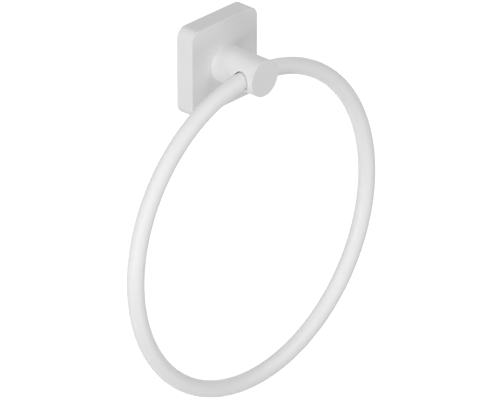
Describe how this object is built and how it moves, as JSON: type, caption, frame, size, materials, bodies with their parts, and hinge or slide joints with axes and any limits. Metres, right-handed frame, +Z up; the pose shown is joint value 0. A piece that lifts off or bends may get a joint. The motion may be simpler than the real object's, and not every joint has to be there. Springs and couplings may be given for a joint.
{
  "type": "towel ring",
  "caption": "Wall-mounted towel ring: a closed round ring hangs loose through the cross bore of a short post on a square cover plate over a folded wall bracket.",
  "frame": {"origin": "on the wall, at the middle of the bracket's back, behind the post's axis", "axes": "+Y into the wall, so the post reaches out along -Y; +Z up; +X to the right for someone who faces the wall"},
  "size_m": [0.1892, 0.0395, 0.21],
  "materials": {
    "white_coat": "matt white powder coat",
    "white_coat_ring": "matt white powder coat on round bar",
    "plated_steel": "bright zinc plate",
    "plated_sheet": "zinc plated sheet",
    "black_steel": "black oxide"
  },
  "bodies": {
    "wall_mount": {"cover_plate": "white_coat", "post": "white_coat", "post_screw": "plated_steel", "post_washer": "plated_steel", "wall_bracket": "plated_sheet", "grub_screw": "black_steel"},
    "towel_ring": {"ring": "white_coat_ring"}
  },
  "joints": [
    {"name": "ring_swing", "type": "hinge", "parent": "wall_mount", "child": "towel_ring", "pos_m": [0, -0.0313, -0.00065], "axis": [-1, 0, 0], "range_deg": [-8.4, 188.4]}
  ]
}
